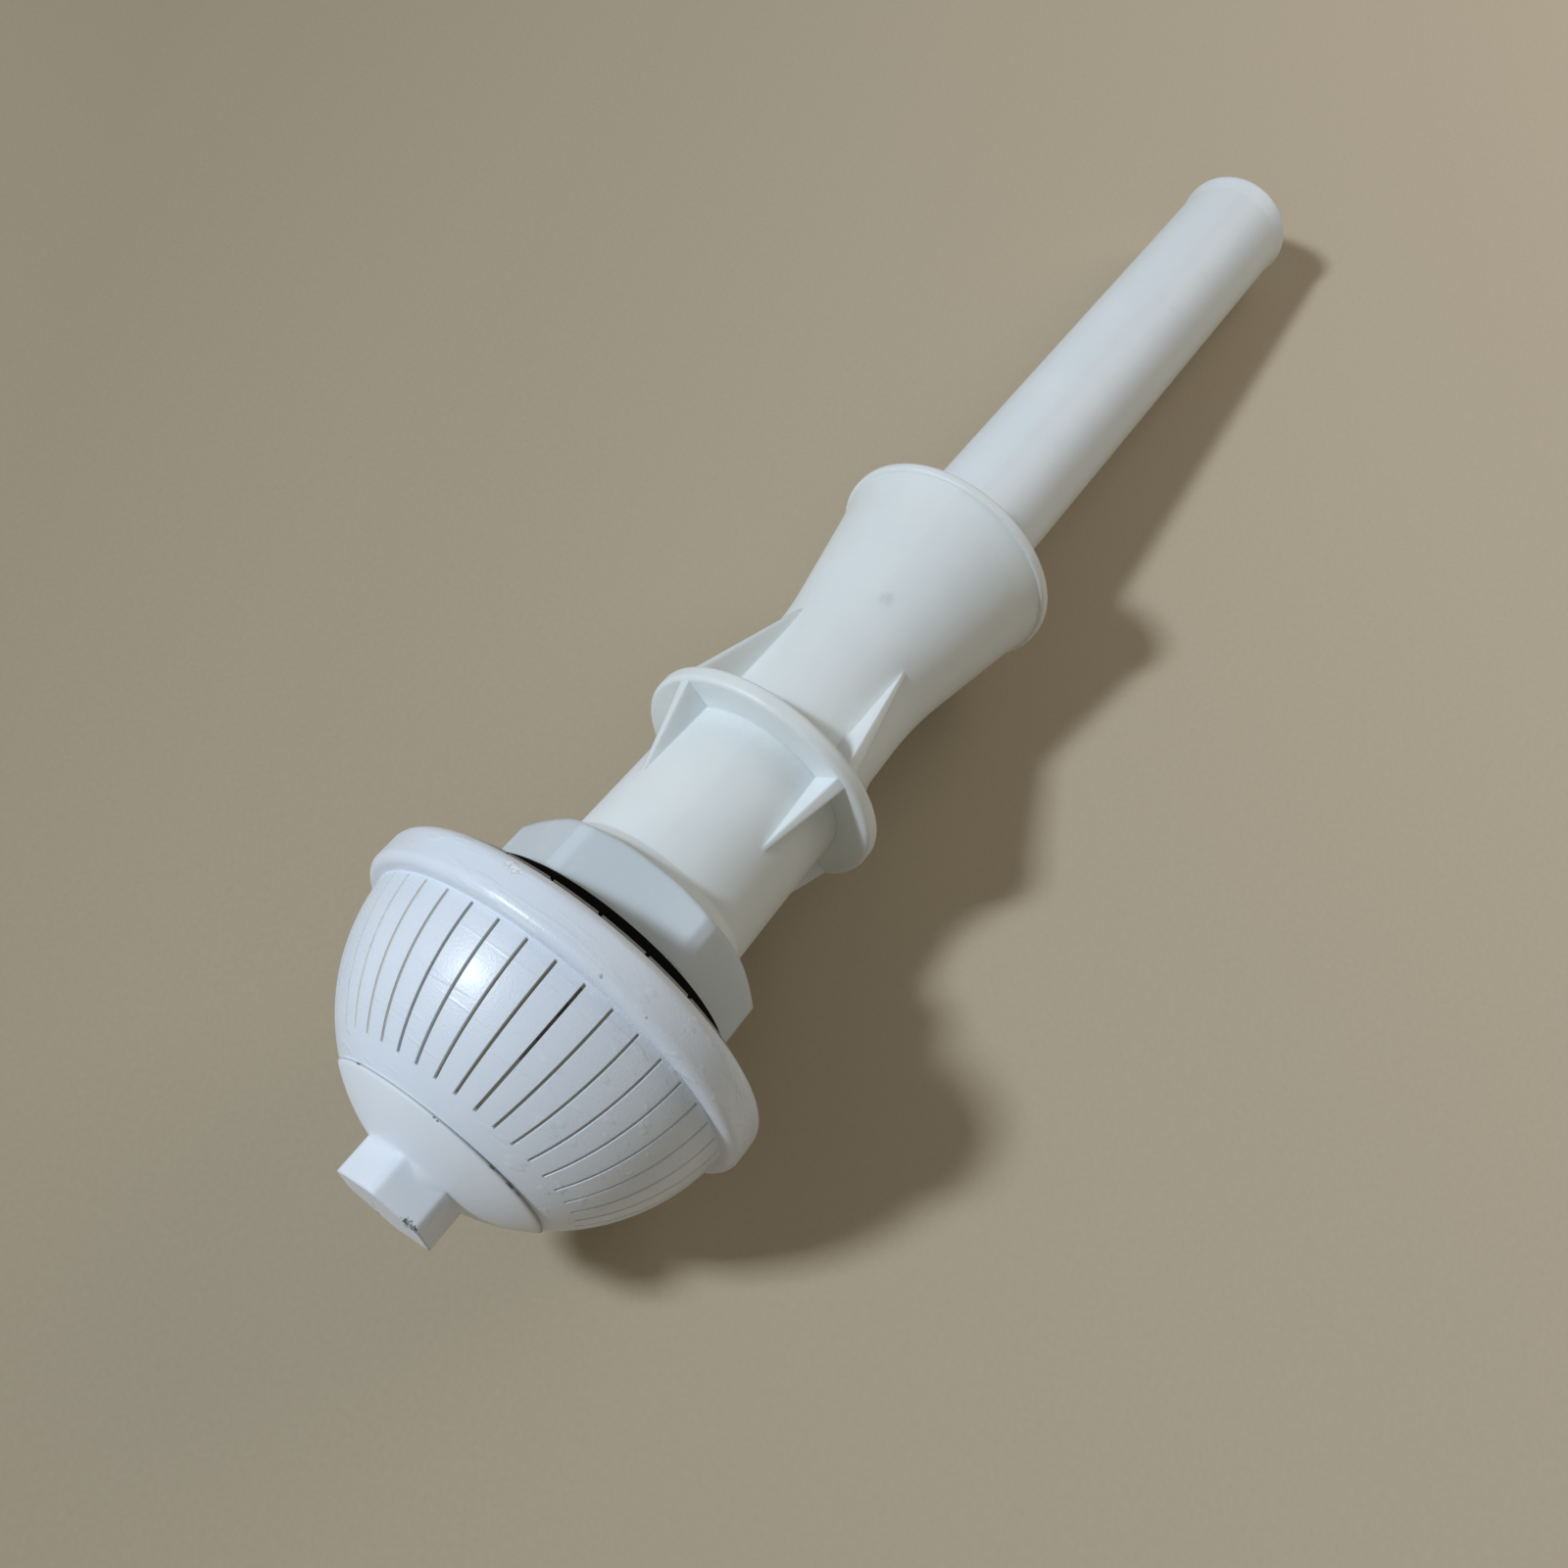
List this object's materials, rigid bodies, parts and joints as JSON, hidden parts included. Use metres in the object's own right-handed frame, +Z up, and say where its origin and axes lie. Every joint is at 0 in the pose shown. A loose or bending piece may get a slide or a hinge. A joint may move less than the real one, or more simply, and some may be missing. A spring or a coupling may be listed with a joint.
{
  "type": "sand filter nozzle",
  "caption": "Long-stem filter nozzle: a slotted strainer dome with a wrench boss on a hollow stem, screwed through a ribbed cast-in seat with a flared mouth.",
  "frame": {"origin": "centre of the bounding box on the floor the nozzle lies on", "axes": "+X along the lying nozzle from the strainer dome towards the stem's open end, +Z up"},
  "size_m": [0.297, 0.0774, 0.0774],
  "materials": {
    "strainer_dome": "moulded white plastic with a soft gloss and fine scratches",
    "crown_cap": "moulded white plastic, dull, with dirt in the groove",
    "strainer_base": "moulded white plastic",
    "gasket": "black rubber",
    "hex_nut": "moulded white plastic with a soft gloss",
    "seat": "slightly translucent ivory white plastic",
    "stem": "smooth white plastic tube"
  },
  "bodies": {
    "root": {"strainer_dome": "strainer_dome", "crown_cap": "crown_cap", "strainer_base": "strainer_base", "gasket": "gasket", "hex_nut": "hex_nut", "seat": "seat", "stem": "stem"}
  },
  "joints": []
}
